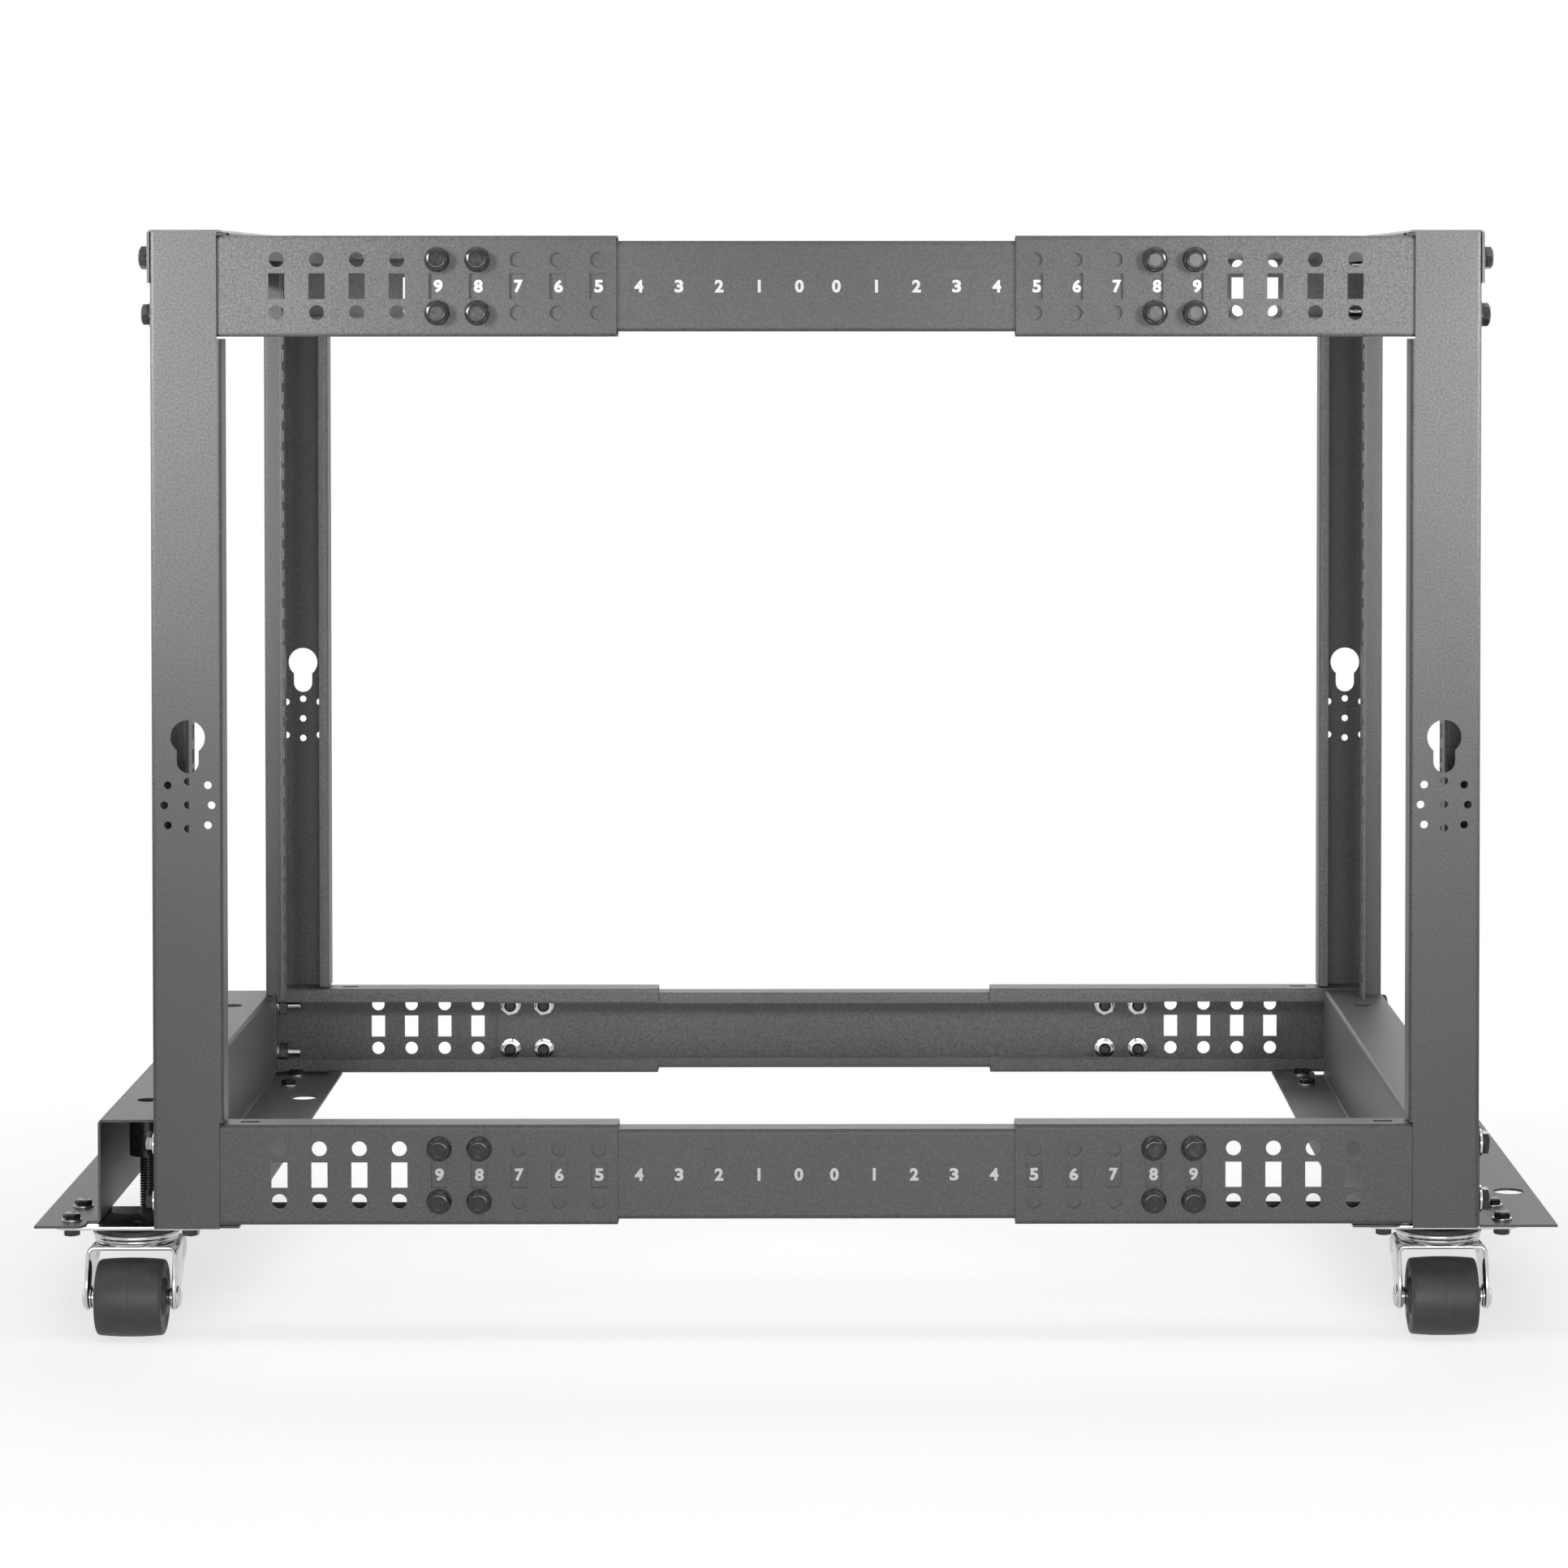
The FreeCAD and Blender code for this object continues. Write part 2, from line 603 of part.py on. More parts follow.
def caster_fork(name, wall, side):
    """Swivelling half of the race with a folded fork, whose legs trail behind the swivel."""
    body = new_body(name)
    front_view = new_sketch(body, "XZ_Plane", "trail + leg_wide / 2")
    half = "fork_wide / 2"
    outline(front_view, [
        (f"-{half}", "leg_foot"), (f"-{half}", "fork_top"), (half, "fork_top"), (half, "leg_foot"),
        (f"{half} - fork_thick", "leg_foot"), (f"{half} - fork_thick", "fork_top - fork_thick"),
        (f"-{half} + fork_thick", "fork_top - fork_thick"), (f"-{half} + fork_thick", "leg_foot"),
    ])
    pad(body, front_view, "trail + leg_wide / 2 + fork_long / 2", backward=True)
    bend(body, 1, [(f"-{half}", "fork_top"), (half, "fork_top")], "2 * fork_thick")
    bend(body, 1, [(f"-{half} + fork_thick", "fork_top - fork_thick"), (f"{half} - fork_thick", "fork_top - fork_thick")],
         "fork_thick")
    # the legs slope back from the fork's crown to the axle
    side_view = new_sketch(body, "YZ_Plane", f"-{half} - 1")
    back = "-trail - leg_wide / 2"
    outline(side_view, [
        (f"{back} + leg_wide", "leg_foot - 1"), (f"{back} + leg_wide", "wheel_across / 2"),
        ("fork_long / 2 + 1", "fork_top - 4 * fork_thick"), ("fork_long / 2 + 1", "leg_foot - 1"),
    ])
    pocket(body, side_view, "fork_wide + 2", backward=True)
    crown = new_sketch(body, "YZ_Plane", f"-{half} - 1")
    outline(crown, [
        (f"{back} - 1", "wheel_across / 2 + leg_wide / 2"), (back, "wheel_across / 2 + leg_wide / 2"),
        ("-fork_long / 2", "fork_top + 1"), (f"{back} - 1", "fork_top + 1"),
    ])
    pocket(body, crown, "fork_wide + 2", backward=True)
    race = new_sketch(body, "XY_Plane", "fork_top")
    circle(race, "0", "0", "race_across - 2 * race_gap")
    pad(body, race, "caster_height - caster_plate_thick - race_drop - race_gap - fork_top")
    bore = new_sketch(body, "YZ_Plane", f"-{half} - 1")
    circle(bore, "-trail", "wheel_across / 2", "axle_across")
    pocket(body, bore, "fork_wide + 2", backward=True)
    place(body, f"{wall} - {SWIVEL_OUT}", side, "0")
    DOC.recompute()
    return body


def caster_wheel(name, wall, side):
    """Solid tread, slightly crowned, with a bore for the axle."""
    body = new_body(name)
    section = new_sketch(body, "XZ_Plane")
    half = "wheel_wide / 2"
    shoulder = "wheel_across / 2 - wheel_crown"
    outline(section, [
        (f"-{half}", "axle_across / 2 + axle_gap"), (half, "axle_across / 2 + axle_gap"),
        (half, f"{shoulder} - 2 * wheel_crown"), (f"{half} - 2 * wheel_crown", shoulder),
        (f"{half} / 2", "wheel_across / 2"), (f"-{half} / 2", "wheel_across / 2"),
        (f"-{half} + 2 * wheel_crown", shoulder), (f"-{half}", f"{shoulder} - 2 * wheel_crown"),
    ])
    turn = body.newObject("PartDesign::Revolution", body.Name + "_turn")
    turn.Profile = section
    turn.ReferenceAxis = (section, ["H_Axis"])
    turn.Angle = 360
    place(body, f"{wall} - {SWIVEL_OUT}", f"{side} - trail", "wheel_across / 2")
    DOC.recompute()
    return body


def caster_axle(name, wall, side):
    """Riveted axle: a pin with a round head outside each leg."""
    body = new_body(name)
    pin_end = "fork_wide / 2"
    shank = new_sketch(body, "YZ_Plane", f"-{pin_end}")
    circle(shank, "0", "0", "axle_across")
    pad(body, shank, "fork_wide")
    for lift in (pin_end, f"-{pin_end} - rivet_high"):
        head = new_sketch(body, "YZ_Plane", lift)
        circle(head, "0", "0", "rivet_across")
        pad(body, head, "rivet_high")
    place(body, f"{wall} - {SWIVEL_OUT}", f"{side} - trail", "wheel_across / 2")
    DOC.recompute()
    return body


# ---------------------------------------------------------------- levelling screws


def leveller_boss(name, wall, side):
    """Threaded boss that hangs under the base channel's top."""
    body = new_body(name)
    ring = new_sketch(body, "XY_Plane", f"{BOX_TOP} - sheet - boss_long")
    circle(ring, "0", "0", "boss_across")
    circle(ring, "0", "0", "stem_across + 2 * thread_gap")
    pad(body, ring, "boss_long")
    place(body, f"{wall} - {SWIVEL_OUT}", side, POST_FOOT)
    DOC.recompute()
    return body


def leveller_screw(name, wall, side):
    """Levelling screw, wound up until its end is clear of the swivelling caster beside it."""
    body = new_body(name)
    stem = new_sketch(body, "XY_Plane", "-sheet - stem_below")
    circle(stem, "0", "0", "stem_across")
    pad(body, stem, f"{BOX_TOP} + stem_below - 2 * sheet")
    place(body, f"{wall} - {SWIVEL_OUT}", side, POST_FOOT)
    DOC.recompute()
    return body


# ---------------------------------------------------------------- the rack


def build():
    across = FreeCAD.Vector(0, 1, 0)
    along = FreeCAD.Vector(1, 0, 0)
    upward = FreeCAD.Vector(0, 0, 1)
    middle_along = f"{RACK_FRONT} + rack_depth / 2"
    middle_up = f"{POST_FOOT} + post_height / 2"
    pieces = []

    front_left = post("front_left_post")
    front_right = mirrored(front_left, "front_right_post", across)
    rear_left = mirrored(front_left, "rear_left_post", along, middle_along)
    rear_right = mirrored(front_right, "rear_right_post", along, middle_along)
    pieces += [front_left, front_right, rear_left, rear_right]

    front_cross = cross_member("front_top_cross_member")
    pieces += [front_cross, mirrored(front_cross, "rear_top_cross_member", along, middle_along)]

    pieces += [base_channel("front_base_channel", FRONT_WALL), base_channel("rear_base_channel", REAR_WALL)]

    left_sleeve = sleeve("bottom_left_front_sleeve")
    left_inner = inner_rail("bottom_left_inner_rail")
    for level in ("bottom", "top"):
        if level == "top":
            left_sleeve = mirrored(left_sleeve, "top_left_front_sleeve", upward, middle_up)
            left_inner = mirrored(left_inner, "top_left_inner_rail", upward, middle_up)
        right_sleeve = mirrored(left_sleeve, f"{level}_right_front_sleeve", across)
        pieces += [
            left_sleeve, right_sleeve,
            mirrored(left_sleeve, f"{level}_left_rear_sleeve", along, middle_along),
            mirrored(right_sleeve, f"{level}_right_rear_sleeve", along, middle_along),
            left_inner, mirrored(left_inner, f"{level}_right_inner_rail", across),
        ]

    for end, wall in (("front", FRONT_WALL), ("rear", REAR_WALL)):
        for hand, sign in (("left", "-"), ("right", "")):
            corner = f"{end}_{hand}"
            caster_side = f"{sign}(rack_width / 2 - caster_in)"
            level_side = f"{sign}(rack_width / 2 - level_in)"
            pieces += [
                caster_plate(f"{corner}_caster_plate", wall, caster_side),
                caster_fork(f"{corner}_caster_fork", wall, caster_side),
                caster_wheel(f"{corner}_caster_wheel", wall, caster_side),
                caster_axle(f"{corner}_caster_axle", wall, caster_side),
                leveller_boss(f"{corner}_leveller_boss", wall, level_side),
                leveller_screw(f"{corner}_leveller_screw", wall, level_side),
            ]
    return pieces


def check_and_write(pieces):
    """Stops on any failed object or broken shape, then writes one STEP file for each piece."""
    DOC.recompute()
    for item in DOC.Objects:
        if "Invalid" in item.State or "Error" in item.State:
            raise RuntimeError(f"{item.Name} failed: {item.State}")
    for piece in pieces:
        if piece.Shape.isNull() or not piece.Shape.isValid():
            raise RuntimeError(f"{piece.Label} has no valid shape")
        if len(piece.Shape.Solids) != 1:
            raise RuntimeError(f"{piece.Label} has {len(piece.Shape.Solids)} solids")
    os.makedirs("parts", exist_ok=True)
    for piece in pieces:
        piece.Shape.exportStep(f"parts/{piece.Label}.step")
    print(len(pieces), "pieces written")


check_and_write(build())
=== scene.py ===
"""Looks of a four post open frame rack: powder coat, fasteners, casters, printed numbers, light and camera.

Sizes are named in millimetres and turned into metres by MM. Front is -X and the left side is -Y."""

import math
import random

import bmesh
import bpy
from mathutils import Matrix, Vector


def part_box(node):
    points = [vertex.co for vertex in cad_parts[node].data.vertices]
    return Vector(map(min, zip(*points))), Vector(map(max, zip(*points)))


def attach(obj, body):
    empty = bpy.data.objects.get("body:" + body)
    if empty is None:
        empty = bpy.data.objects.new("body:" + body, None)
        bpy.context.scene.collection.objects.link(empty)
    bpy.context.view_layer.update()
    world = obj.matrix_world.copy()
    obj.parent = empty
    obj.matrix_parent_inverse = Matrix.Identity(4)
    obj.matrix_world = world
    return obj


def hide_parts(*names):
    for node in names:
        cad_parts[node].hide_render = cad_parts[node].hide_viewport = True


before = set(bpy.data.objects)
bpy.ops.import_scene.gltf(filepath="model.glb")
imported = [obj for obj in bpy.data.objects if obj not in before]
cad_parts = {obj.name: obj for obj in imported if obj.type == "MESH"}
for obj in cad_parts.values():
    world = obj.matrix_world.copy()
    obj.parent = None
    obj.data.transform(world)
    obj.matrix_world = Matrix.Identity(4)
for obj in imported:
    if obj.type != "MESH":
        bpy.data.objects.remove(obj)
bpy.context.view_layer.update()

MM = 0.001
CORNERS = [(end, side) for end in ("front", "rear") for side in ("left", "right")]

# ------------------------------------------------------------------ sizes

# fasteners, with their threads' usual pitches; past_nut is how far a bolt's end stands out of its nut
CORNER_BOLT = {"thread": 8, "pitch": 1.25, "across_flats": 13, "head": 5.3, "nut": 6.5,
               "washer": 17, "washer_thick": 1.6}
RAIL_BOLT = {"thread": 8, "pitch": 1.25, "across_flats": 13, "head": 6.6, "nut": 6.5,
             "flange": 16.2, "flange_thick": 1.5, "washer": 15.5, "washer_thick": 1.2, "past_nut": 1.3}
CASTER_BOLT = {"thread": 6, "pitch": 1.0, "across_flats": 10, "head": 4.0, "nut": 5.0,
               "washer": 13, "washer_thick": 1.3, "past_nut": 0.6}
LEVELLING_SCREW = {"thread": 12, "pitch": 1.75, "depth": 0.75}
HEAD_FACE, NUT_FACE = 0.80, 0.96    # the flat face's width as a share of the width across the flats
HIDDEN_START = -1.0            # a bolt's end starts this far inside the sheet under its washer or nut
BOLT_LEAN = 1.5                # the most that a rail bolt's head leans, in degrees

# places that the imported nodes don't give by themselves
SHEET = 1.6
CORNER_BOLT_IN = 15            # from the post's outer side to the bolt's axis
CORNER_BOLT_RISE = 18          # from the rail's middle to the bolt's axis
CORNER_BOLT_REACH = 22         # from the face under the head's washer to the bolt's end
COLUMN_FIRST = 80              # from a post's outer face to a rail's first column of holes
COLUMN_STEP, COLUMNS = 25.4, 14
BOLTED_COLUMNS = (4, 5)        # counted from 0 at the first column
RAIL_HOLE_RISE = 16.8          # from the rail's middle to its upper and lower round holes

# casters, with heights above the floor
CASTER_PLATE_THICK, CASTER_PLATE_CORNER = 2.5, 7.5
CASTER_HOLES = (76.2, 44.5)    # from one bolt to the next, along X and Y
AXLE_HEIGHT = 25.0
TRAIL = 20.0                   # from the swivel's axis back to the axle
FORK_TOP, FORK_THICK, FORK_EDGE = 57.6, 2.3, 0.35
FORK_FOOT = 17.0               # height of a leg's lowest point
FORK_REACH = 10.0              # from the axle to a leg's two edges at the axle's height
FORK_BACK_START = 35.0         # height where a leg's back edge starts to slope in
FORK_BACK_IN = 8.0             # how far it has sloped in at the fork's top
FORK_SHOULDER = 48.4           # height that the slope of a leg's front edge is measured to
FORK_FRONT_OUT = 33.0          # how far it slopes out from the axle's height to there
FORK_FRONT = 22.0              # the farthest that the front edge comes from the swivel's axis

# printed numbers
NUMBER_HIGH, NUMBER_WIDE = 8.1, 5.6
FONT_DIGIT = 0.73              # a digit's height as a share of the font's size
NUMBER_BOLDER = 0.46           # how far the font's outlines are pushed out
NUMBER_HALF_THICK = 0.03
NUMBER_PROUD = 0.06            # from the rail's face to the middle of a number's thickness
NUMBER_SHIFT = {("top", "rear"): 1.4, ("top", "front"): 0.6}    # how far off their columns, along X
LAST_NUMBER = 9

# ------------------------------------------------------------------ materials


def new_material(name, **values):
    """A material with one Principled shader, whose named sockets take the given constants."""
    material = bpy.data.materials.new(name)
    material.use_nodes = True
    shader = material.node_tree.nodes["Principled BSDF"]
    for socket, value in values.items():
        shader.inputs[socket.replace("_", " ")].default_value = value
    return material, shader


class Nodes:
    """Short ways to add the nodes that these materials share."""

    def __init__(self, material):
        self.tree = material.node_tree
        self.place = self.tree.nodes.new("ShaderNodeTexCoord").outputs["Object"]

    def noise(self, per_metre, detail=3.0, roughness=0.6, stretch=None):
        """Noise with about per_metre features in a metre; stretch scales it along X, Y and Z."""
        node = self.tree.nodes.new("ShaderNodeTexNoise")
        node.inputs["Scale"].default_value = per_metre
        node.inputs["Detail"].default_value = detail
        node.inputs["Roughness"].default_value = roughness
        source = self.place
        if stretch:
            scale = self.tree.nodes.new("ShaderNodeMapping")
            scale.inputs["Scale"].default_value = stretch
            self.tree.links.new(source, scale.inputs["Vector"])
            source = scale.outputs["Vector"]
        self.tree.links.new(source, node.inputs["Vector"])
        return node.outputs["Fac"]

    def span(self, source, low, high, start=0.3, end=0.7):
        """Maps source from start..end to low..high."""
        node = self.tree.nodes.new("ShaderNodeMapRange")
        for name, value in (("From Min", start), ("From Max", end), ("To Min", low), ("To Max", high)):
            node.inputs[name].default_value = value
        self.tree.links.new(source, node.inputs["Value"])
        return node.outputs["Result"]

    def mix(self, factor, low, high):
        """A colour between two colours or colour sockets."""
        node = self.tree.nodes.new("ShaderNodeMix")
        node.data_type = "RGBA"
        self.tree.links.new(factor, node.inputs["Factor"])
        for name, value in (("A", low), ("B", high)):
            socket = [s for s in node.inputs if s.name == name and s.type == "RGBA"][0]
            if isinstance(value, tuple):
                socket.default_value = (*value, 1)
            else:
                self.tree.links.new(value, socket)
        return [s for s in node.outputs if s.type == "RGBA"][0]

    def math(self, kind, first, second):
        """The result of a maths node on two numbers or sockets."""
        node = self.tree.nodes.new("ShaderNodeMath")
        node.operation = kind
        for socket, value in zip(node.inputs, (first, second)):
            if isinstance(value, (int, float)):
                socket.default_value = value
            else:
                self.tree.links.new(value, socket)
        return node.outputs["Value"]

    def bump(self, height, strength, distance_mm):
        """A normal pushed about by a height socket."""
        node = self.tree.nodes.new("ShaderNodeBump")
        node.inputs["Strength"].default_value = strength
        node.inputs["Distance"].default_value = distance_mm * MM
        self.tree.links.new(height, node.inputs["Height"])
        return node.outputs["Normal"]

    def join(self, source, socket):
        """Links one socket to another."""
        self.tree.links.new(source, socket)


def make_powder_coat():
    """Dark grey textured powder coat: a pebbled skin with fine light and dark specks."""
    material, shader = new_material("powder_coat_grain", Specular_IOR_Level=0.40)
    n = Nodes(material)
    pebbles = n.noise(740, detail=2.5, roughness=0.62)
    specks = n.noise(1600, detail=2.0, roughness=0.7)
    clouds = n.noise(14, detail=2.0, roughness=0.5)
    grain = n.math("ADD", n.math("MULTIPLY", pebbles, 0.5), n.math("MULTIPLY", specks, 0.5))
    speckled = n.span(grain, 0.0, 1.0, 0.36, 0.64)
    coat = n.mix(speckled, (0.042, 0.0415, 0.0405), (0.136, 0.134, 0.131))
    lighter = n.mix(speckled, (0.047, 0.0465, 0.0455), (0.148, 0.146, 0.143))
    n.join(n.mix(n.span(clouds, 0.0, 1.0), coat, lighter), shader.inputs["Base Color"])
    n.join(n.span(pebbles, 0.38, 0.54), shader.inputs["Roughness"])
    n.join(n.bump(grain, 0.45, 0.25), shader.inputs["Normal"])
    return material


def make_zinc():
    """Bright zinc plate, a little cloudy, with the faint lines that tumbling leaves."""
    material, shader = new_material("bright_zinc", Metallic=1.0)
    n = Nodes(material)
    clouds = n.noise(120, detail=4.0)
    lines = n.noise(900, detail=3.0, stretch=(1.0, 1.0, 0.25))
    n.join(n.mix(n.span(clouds, 0.0, 1.0), (0.50, 0.505, 0.51), (0.62, 0.62, 0.615)),
           shader.inputs["Base Color"])
    n.join(n.span(clouds, 0.14, 0.24), shader.inputs["Roughness"])
    n.join(n.bump(lines, 0.10, 0.04), shader.inputs["Normal"])
    return material


def make_black_oxide():
    """Oiled black steel of bolts and screws: dark, glossy, with paler rubbed places."""
    material, shader = new_material("black_steel", Specular_IOR_Level=0.5)
    n = Nodes(material)
    rubbed = n.noise(260, detail=3.0, roughness=0.6)
    n.join(n.mix(n.span(rubbed, 0.0, 1.0, 0.35, 0.75), (0.009, 0.009, 0.010), (0.024, 0.024, 0.023)),
           shader.inputs["Base Color"])
    n.join(n.span(rubbed, 0.12, 0.24), shader.inputs["Roughness"])
    n.join(n.bump(rubbed, 0.12, 0.05), shader.inputs["Normal"])
    return material


def make_wheel_black():
    """Moulded black nylon with a fine spark-eroded grain, scuffed a little lighter."""
    material, shader = new_material("moulded_nylon", Specular_IOR_Level=0.45)
    n = Nodes(material)
    grain = n.noise(900, detail=3.0, roughness=0.7)
    scuffs = n.noise(90, detail=4.0, roughness=0.65)
    plain = n.mix(n.span(grain, 0.0, 1.0, 0.35, 0.65), (0.030, 0.030, 0.031), (0.060, 0.059, 0.058))
    n.join(n.mix(n.span(scuffs, 0.0, 0.6, 0.45, 0.8), plain, (0.085, 0.084, 0.081)),
           shader.inputs["Base Color"])
    n.join(n.span(grain, 0.42, 0.60), shader.inputs["Roughness"])
    n.join(n.bump(grain, 0.5, 0.16), shader.inputs["Normal"])
    return material


def make_ink():
    """White screen-printed ink that lets a little of the coat's grain through."""
    material, shader = new_material("white_ink", Specular_IOR_Level=0.3)
    n = Nodes(material)
    grain = n.noise(900, detail=2.0)
    n.join(n.mix(n.span(grain, 0.0, 1.0, 0.3, 0.6), (0.74, 0.74, 0.73), (0.88, 0.88, 0.87)),
           shader.inputs["Base Color"])
    n.join(n.span(grain, 0.5, 0.65), shader.inputs["Roughness"])
    n.join(n.bump(grain, 0.3, 0.10), shader.inputs["Normal"])
    return material


FINISH = {
    "powder_coat": make_powder_coat(),
    "zinc": make_zinc(),
    "black_oxide": make_black_oxide(),
    "wheel_black": make_wheel_black(),
}
INK = make_ink()

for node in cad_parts.values():
    for material_slot in node.material_slots:
        wanted = material_slot.material.name.split(".")[0]
        material_slot.material = FINISH[wanted]

# ------------------------------------------------------------------ mesh helpers


def add_piece(name, work, body, finish, sharp=35):
    """Turns a bmesh into an object of the given finish that rides on a body."""
    mesh = bpy.data.meshes.new(name)
    bmesh.ops.recalc_face_normals(work, faces=work.faces)
    work.to_mesh(mesh)
    work.free()
    for face in mesh.polygons:
        face.use_smooth = True
    mesh.set_sharp_from_angle(angle=math.radians(sharp))
    piece = bpy.data.objects.new(name, mesh)
    bpy.context.scene.collection.objects.link(piece)
    mesh.materials.append(finish if isinstance(finish, bpy.types.Material) else FINISH[finish])
    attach(piece, body)
    return piece


def ring_surface(work, place, rings, hollow=False):
    """Joins rings that each have as many points into one skin. A hollow skin's last ring joins its first,
    and any other's two end rings are capped by fans."""
    rows = [[work.verts.new(place @ (Vector(point) * MM)) for point in ring] for ring in rings]
    for low, high in zip(rows, rows[1:] + rows[:1] if hollow else rows[1:]):
        for i in range(len(low)):
            j = (i + 1) % len(low)
            work.faces.new((low[i], low[j], high[j], high[i]))
    if not hollow:
        for row in (rows[0], rows[-1]):
            hub = work.verts.new(sum((v.co for v in row), Vector()) / len(row))
            for i in range(len(row)):
                work.faces.new((row[i], row[(i + 1) % len(row)], hub))


def circle_ring(radius, height, steps=48):
    """A ring round a circle."""
    return [(radius * math.cos(2 * math.pi * i / steps), radius * math.sin(2 * math.pi * i / steps), height)
            for i in range(steps)]


def lathe(work, place, profile, steps=48):
    """Turns a profile of (radius, height) about Z. Where its last point is its first, it's a hollow ring."""
    hollow = profile[0] == profile[-1]
    points = profile[:-1] if hollow else profile
    rings = [circle_ring(max(radius, 0.01), height, steps) for radius, height in points]
    ring_surface(work, place, rings, hollow)


def both_ways(half):
    """A profile that is symmetric about height 0, from the half of it that is above."""
    return [(radius, -offset) for radius, offset in reversed(half)] + half


def hex_radius(angle, across_flats):
    """Distance from a hexagon's middle to its side in the given direction."""
    turned = (angle + math.pi / 6) % (math.pi / 3) - math.pi / 6
    return across_flats / 2 / math.cos(turned)


def hex_ring(across_flats, height, limit=1e9, drop=0.0, steps=48):
    """A ring round a hexagon, cut by a cone: the ring sinks by drop for each millimetre past limit."""
    ring = []
    for i in range(steps):
        angle = 2 * math.pi * i / steps
        radius = hex_radius(angle, across_flats)
        sunk = height - max(0, radius - limit) * drop
        ring.append((radius * math.cos(angle), radius * math.sin(angle), sunk))
    return ring


def hex_head(work, place, across_flats, height, base=0.0, dish=0.0):
    """A hexagon head with a chamfered top, which may be dished, standing on base."""
    face = across_flats / 2 * HEAD_FACE
    rings = [hex_ring(across_flats - 0.3, base), hex_ring(across_flats, base + 0.25),
             hex_ring(across_flats, height, face, 0.62), circle_ring(face, height)]
    if dish:
        rings += [circle_ring(face - 0.7, height), circle_ring(face - 1.2, height - dish)]
    ring_surface(work, place, rings)


def hex_nut(work, place, across_flats, height, thread):
    """A nut chamfered at both faces, with a countersunk bore."""
    face, bore = across_flats / 2 * NUT_FACE, thread / 2
    rings = [circle_ring(bore + 0.5, 0.0), circle_ring(face, 0.0), hex_ring(across_flats, 0.0, face, -0.6),
             hex_ring(across_flats, height, face, 0.6), circle_ring(face, height),
             circle_ring(bore + 0.6, height), circle_ring(bore, height - 0.7), circle_ring(bore, 0.6)]
    ring_surface(work, place, rings, hollow=True)


def washer(work, place, across, bore, thick):
    """A flat washer with softened edges."""
    edge = min(0.25, thick / 4)
    outer, inner = across / 2, bore / 2
    lathe(work, place, [(inner, 0), (outer - edge, 0), (outer, edge), (outer, thick - edge),
                        (outer - edge, thick), (inner + edge, thick), (inner, thick - edge), (inner, 0)])


def threaded(work, place, thread, pitch, length, depth=None, steps=20, per_turn=6, start=0.0):
    """A rod with a helical thread from start to length, and a chamfered end."""
    depth = depth or pitch * 0.55
    count = max(2, round((length - start) / pitch * per_turn))
    rings = []
    for k in range(count + 1):
        height = start + (length - start) * k / count
        ring = []
        for i in range(steps):
            phase = (height / pitch - i / steps) % 1
            radius = thread / 2 - depth * (1 - abs(2 * phase - 1))
            radius = min(radius, thread / 2 - depth + (length - height) * 0.8)
            angle = 2 * math.pi * i / steps
            ring.append((radius * math.cos(angle), radius * math.sin(angle), height))
        rings.append(ring)
    ring_surface(work, place, rings)


def along(point, direction, turn=0.0):
    """A place with its origin at point, in millimetres, and its Z along direction, turned about it."""
    rotation = Vector((0, 0, 1)).rotation_difference(Vector(direction)).to_matrix().to_4x4()
    return Matrix.Translation(Vector(point) * MM) @ rotation @ Matrix.Rotation(turn, 4, "Z")


def box_mm(node):
    """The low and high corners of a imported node's box, in millimetres."""
    low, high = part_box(node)
    return low / MM, high / MM


# ------------------------------------------------------------------ corner bolts

chance = random.Random(12)


def corner_bolts():
    """Two bolts at the top and two at the foot of each post: head and washer outside, washer, nut and bolt
    end inside. The washers outside are black at the top and bright, like the nuts, at the foot."""
    b = CORNER_BOLT
    heads, washers, nuts = bmesh.new(), bmesh.new(), bmesh.new()
    for end, side in CORNERS:
        out = -1 if end == "front" else 1
        post_low, post_high = box_mm(f"{end}_{side}_post")
        face = post_low.x if out < 0 else post_high.x
        cross_low, cross_high = box_mm(f"{end}_top_cross_member")
        cross_face = cross_low.x if out < 0 else cross_high.x
        across = (post_low.y + CORNER_BOLT_IN) if side == "left" else (post_high.y - CORNER_BOLT_IN)
        for level in ("bottom", "top"):
            rail_low, rail_high = box_mm(f"{level}_{side}_{end}_sleeve")
            tab = (rail_low.x + SHEET) if out < 0 else (rail_high.x - SHEET)
            middle = (rail_low.z + rail_high.z) / 2
            for way in (-1, 1):
                height = middle + way * CORNER_BOLT_RISE
                outside = face
                if level == "top" and way > 0:
                    outside = cross_face
                elif level == "bottom" and out > 0:
                    outside = face + SHEET
                turn = chance.uniform(0, math.pi / 3)
                place = along((outside, across, height), (out, 0, 0), turn)
                outer_washers = washers if level == "top" else nuts
                washer(outer_washers, place, b["washer"], b["thread"], b["washer_thick"])
                hex_head(heads, place, b["across_flats"], b["washer_thick"] + b["head"], b["washer_thick"])
                inside = along((tab, across, height), (-out, 0, 0), chance.uniform(0, math.pi / 3))
                washer(nuts, inside, b["washer"], b["thread"], b["washer_thick"])
                raised = inside @ Matrix.Translation((0, 0, b["washer_thick"] * MM))
                hex_nut(nuts, raised, b["across_flats"], b["nut"], b["thread"])
                reach = CORNER_BOLT_REACH - abs(tab - outside)
                threaded(nuts, inside, b["thread"], b["pitch"], reach, start=HIDDEN_START)
    add_piece("corner_bolt_heads", heads, "root", "black_oxide")
    add_piece("corner_bolt_washers", washers, "root", "black_oxide")
    add_piece("corner_bolt_nuts", nuts, "root", "zinc")


# ------------------------------------------------------------------ rail bolts


